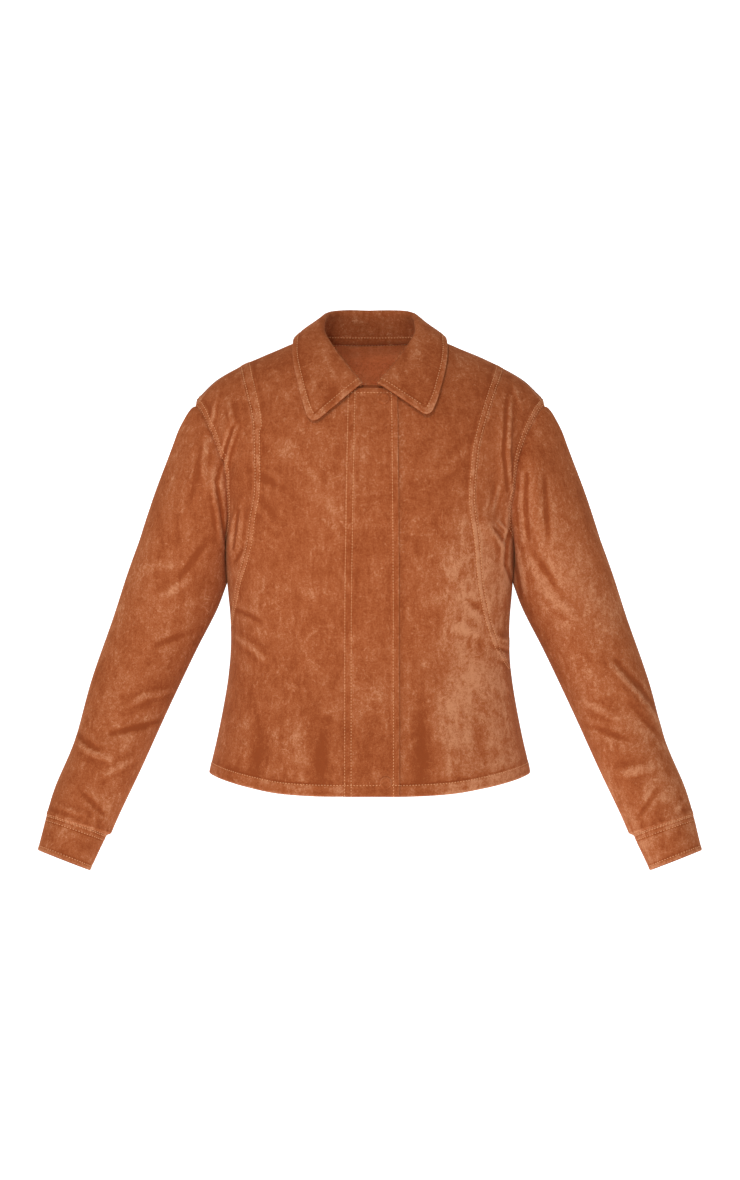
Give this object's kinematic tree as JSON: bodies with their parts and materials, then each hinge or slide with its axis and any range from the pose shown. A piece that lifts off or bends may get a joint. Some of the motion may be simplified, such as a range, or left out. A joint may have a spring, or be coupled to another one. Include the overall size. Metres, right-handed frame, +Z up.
{
  "type": "suede jacket",
  "caption": "Short boxy suede jacket with a point collar, long cuffed sleeves, curved front seams and a covered front placket, filled out and hollow.",
  "frame": {"origin": "between the shoulders, level with the top of the shoulder line, in the middle of the neck opening", "axes": "+Z up, the front faces -Y, +X to the right as the front is seen"},
  "size_m": [0.822, 0.2603, 0.6905],
  "materials": {
    "suede": "brushed suede with a soft uneven nap",
    "suede_facing": "suede strip",
    "suede_snap": "suede pressed over a snap"
  },
  "bodies": {
    "root": {"back": "suede", "front_left": "suede", "front_right": "suede", "side_front_left": "suede", "side_front_right": "suede", "sleeve_left": "suede", "sleeve_right": "suede", "cuff_left": "suede", "cuff_right": "suede", "collar": "suede", "placket": "suede", "neck_facing": "suede_facing", "snap_top": "suede_snap", "snap_bottom": "suede_snap"}
  },
  "joints": []
}
